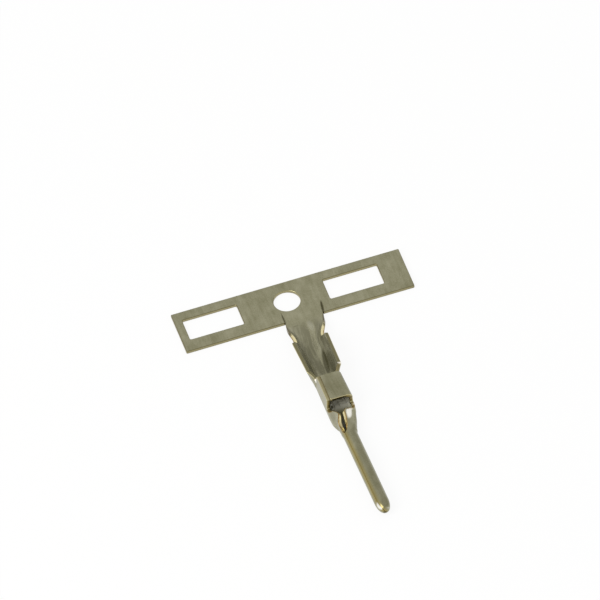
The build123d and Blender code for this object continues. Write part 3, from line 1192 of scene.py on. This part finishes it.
@dataclass(frozen=True)
class ShearedBrass:
    """Cut edge of the strip: dull where tin smears over it, elsewhere bright and torn brass.

    The punch leaves a burnished band below one face and a torn, browner one below the other, and
    it works from the other side between turn_rear and turn_front. Along the outer face runs a thin
    lip of bare brass. These gold and brown lines round the part show that it is plated brass.
    Lengths are in millimetres, and each range is of depths in the sheet.
    """

    smeared: str = "#807B5C"
    bright: str = "#F2E6B4"
    torn: str = "#94743C"
    # The next colour paints shade on the cut edge and darkens the strip's upper rim; the one after
    # paints highlights.
    dark_tone_and_shade: str = "#5A4E30"
    painted_glint: str = "#FFF8E8"
    grain: float = 0.12
    burnished: float = 0.24
    rough: float = 0.42
    turn_rear: float = 3.55
    turn_front: float = 8.45
    wander: float = 0.12
    band_range: tuple[float, float] = (-0.02, 0.06)
    lip_range: tuple[float, float] = (-0.05, -0.08)
    lip_share: float = 0.6

    def material(self) -> bpy.types.Material:
        """Build the cut edge's material.

        Returns:
            The material.
        """
        made, place, wear_and_painted_light, highlight_and_shade = begin_finish("sheared_brass_edge")
        tree = made.node_tree
        shader = tree.nodes["Principled BSDF"]
        noise = add_node(tree, "ShaderNodeTexNoise",
                         {"Scale": 1 / (self.grain * MM), "Detail": 3.0}, {"Vector": place})
        depth = add_node(tree, "ShaderNodeSeparateXYZ", None, {0: place})
        rear = add_node(tree, "ShaderNodeMath", {"operation": "LESS_THAN", 1: self.turn_rear * MM},
                        {0: depth.outputs[0]})
        front = add_node(tree, "ShaderNodeMath",
                         {"operation": "GREATER_THAN", 1: self.turn_front * MM},
                         {0: depth.outputs[0]})
        ends = add_node(tree, "ShaderNodeMath", {"operation": "ADD"},
                        {0: rear.outputs[0], 1: front.outputs[0]})
        way = add_node(tree, "ShaderNodeMath", {"operation": "MULTIPLY_ADD", 1: 2.0, 2: -1.0},
                       {0: ends.outputs[0]})
        height = add_node(tree, "ShaderNodeMath", {"operation": "MULTIPLY"},
                          {0: depth.outputs[2], 1: way.outputs[0]})
        wander = add_node(tree, "ShaderNodeMath",
                          {"operation": "MULTIPLY_ADD", 1: self.wander * MM},
                          {0: noise.outputs[0], 2: height.outputs[0]})
        band = add_node(tree, "ShaderNodeMapRange",
                        {"From Min": self.band_range[0] * MM, "From Max": self.band_range[1] * MM},
                        {"Value": wander.outputs[0]})
        lip = add_node(tree, "ShaderNodeMapRange",
                       {"From Min": self.lip_range[0] * MM, "From Max": self.lip_range[1] * MM,
                        "To Max": self.lip_share}, {"Value": depth.outputs[2]})
        bare = add_node(tree, "ShaderNodeMath", {"operation": "MAXIMUM"},
                        {0: wear_and_painted_light[0], 1: lip.outputs[0]})
        brass = add_node(tree, "ShaderNodeMix",
                         {"data_type": "RGBA", 6: hex_to_linear(self.torn),
                          7: hex_to_linear(self.bright)}, {0: band.outputs[0]})
        colour = add_node(tree, "ShaderNodeMix",
                          {"data_type": "RGBA", 6: hex_to_linear(self.smeared)},
                          {0: bare.outputs[0], 7: brass.outputs[2]})
        # Painted shade, with the strip's darker upper rim, and painted highlights go over the
        # edge's colour.
        for code, amount in ((self.dark_tone_and_shade, highlight_and_shade[1]), (self.painted_glint, highlight_and_shade[0])):
            colour = add_node(tree, "ShaderNodeMix", {"data_type": "RGBA", 7: hex_to_linear(code)},
                              {0: amount, 6: colour.outputs[2]})
        gloss = add_node(tree, "ShaderNodeMapRange",
                         {"To Min": self.rough, "To Max": self.burnished},
                         {"Value": band.outputs[0]})
        tree.links.new(colour.outputs[2], shader.inputs["Base Color"])
        tree.links.new(gloss.outputs[0], shader.inputs["Roughness"])
        shader.inputs["Metallic"].default_value = 1.0
        return made


@dataclass(frozen=True)
class MattFloor:
    """Matt painted board: white to the camera, with a faint shadow under the part."""

    colour: str = "#F4F4F2"
    size: float = 2000.0
    white_share: float = 0.9

    def material(self) -> bpy.types.Material:
        """Build the floor's material.

        A camera ray, and one that a metal or a glass sends on, sees a share of plain white.

        Returns:
            The material.
        """
        made = bpy.data.materials.new("pale_floor")
        made.use_nodes = True
        tree = made.node_tree
        tree.nodes.clear()
        matt = add_node(tree, "ShaderNodeBsdfDiffuse", {"Color": hex_to_linear(self.colour)})
        white = add_node(tree, "ShaderNodeEmission", {"Color": (1, 1, 1, 1), "Strength": 1.0})
        path = add_node(tree, "ShaderNodeLightPath")
        mirrored = add_node(tree, "ShaderNodeMath", {"operation": "MAXIMUM"},
                            {0: path.outputs["Is Glossy Ray"],
                             1: path.outputs["Is Transmission Ray"]})
        seen = add_node(tree, "ShaderNodeMath", {"operation": "MAXIMUM"},
                        {0: path.outputs["Is Camera Ray"], 1: mirrored.outputs[0]})
        share = add_node(tree, "ShaderNodeMath", {"operation": "MULTIPLY", 1: self.white_share},
                         {0: seen.outputs[0]})
        mix = add_node(tree, "ShaderNodeMixShader", None,
                       {0: share.outputs[0], 1: matt.outputs[0], 2: white.outputs[0]})
        add_node(tree, "ShaderNodeOutputMaterial", None, {0: mix.outputs[0]})
        return made

    def build(self) -> bpy.types.Object:
        """Make the floor, flat at the height that the part lies on.

        Returns:
            The floor.
        """
        half = self.size / 2 * MM
        mesh = bpy.data.meshes.new("floor")
        mesh.from_pydata([(-half, -half, 0), (half, -half, 0), (half, half, 0), (-half, half, 0)],
                         [], [(0, 1, 2, 3)])
        mesh.materials.append(self.material())
        floor = bpy.data.objects.new("floor", mesh)
        bpy.context.scene.collection.objects.link(floor)
        return floor


@dataclass(frozen=True)
class Studio:
    """Pale surroundings, one soft lamp, and the camera that looks down on the contact.

    view_width is what the picture spans at the target, and right and up are its directions. The
    lens is long, so that things far and near are drawn almost alike.
    """

    view_width: float = 32.12599
    lens: float = 1200.0
    sensor: float = 36.0
    right: tuple[float, float, float] = (0.305611, 0.949278, -0.073980)
    up: tuple[float, float, float] = (-0.700005, 0.276668, 0.658368)
    target: tuple[float, float, float] = (0.141767, 0.688452, 0.117379)
    surroundings: float = 0.80
    lamp_place: tuple[float, float, float] = (80.0, -210.0, 190.0)
    lamp_target: tuple[float, float, float] = (8.0, 0.0, 0.0)
    lamp_size: float = 160.0
    lamp_power: float = 0.38

    def camera(self) -> None:
        """Put the camera at the photograph's angle, far off behind its long lens."""
        right = Vector(self.right).normalized()
        up = Vector(self.up)
        up = (up - up.dot(right) * right).normalized()
        back = right.cross(up)
        data = bpy.data.cameras.new("camera")
        data.lens, data.sensor_width = self.lens, self.sensor
        distance = self.view_width * self.lens / self.sensor * MM
        data.clip_start, data.clip_end = distance / 2, distance * 2
        camera = bpy.data.objects.new("camera", data)
        place = Vector(self.target) * MM + back * distance
        turn = Matrix((right, up, back)).transposed().to_4x4()
        camera.matrix_world = Matrix.Translation(place) @ turn
        bpy.context.scene.collection.objects.link(camera)
        bpy.context.scene.camera = camera

    def light(self) -> None:
        """Light the part evenly from all round, and with one soft lamp from the right."""
        world = bpy.data.worlds.new("surroundings")
        world.use_nodes = True
        ground = world.node_tree.nodes["Background"]
        ground.inputs["Color"].default_value = (1.0, 1.0, 1.0, 1.0)
        ground.inputs["Strength"].default_value = self.surroundings
        bpy.context.scene.world = world
        data = bpy.data.lights.new("key_lamp", "AREA")
        data.size, data.energy = self.lamp_size * MM, self.lamp_power
        lamp = bpy.data.objects.new("key_lamp", data)
        lamp.location = Vector(self.lamp_place) * MM
        aim = Vector(self.lamp_target) * MM - lamp.location
        lamp.rotation_mode = "QUATERNION"
        lamp.rotation_quaternion = aim.to_track_quat("-Z", "Y")
        bpy.context.scene.collection.objects.link(lamp)


def main() -> None:
    """Build the contact, dress it, and set the floor, the camera and the lamp."""
    logging.basicConfig(level=logging.INFO, format="%(name)s: %(message)s")
    piece = FoldedContact().build()
    piece.data.materials.append(DullTin().material())
    piece.data.materials.append(ShearedBrass().material())
    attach(piece, "root")
    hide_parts("pin_contact")
    LOG.info("contact_sheet: %d faces", len(piece.data.polygons))
    MattFloor().build()
    studio = Studio()
    studio.camera()
    studio.light()
    LOG.info("floor, camera and lamp are set")
    scene = bpy.context.scene
    scene.view_settings.view_transform = "Standard"


if __name__ == "__main__":
    main()
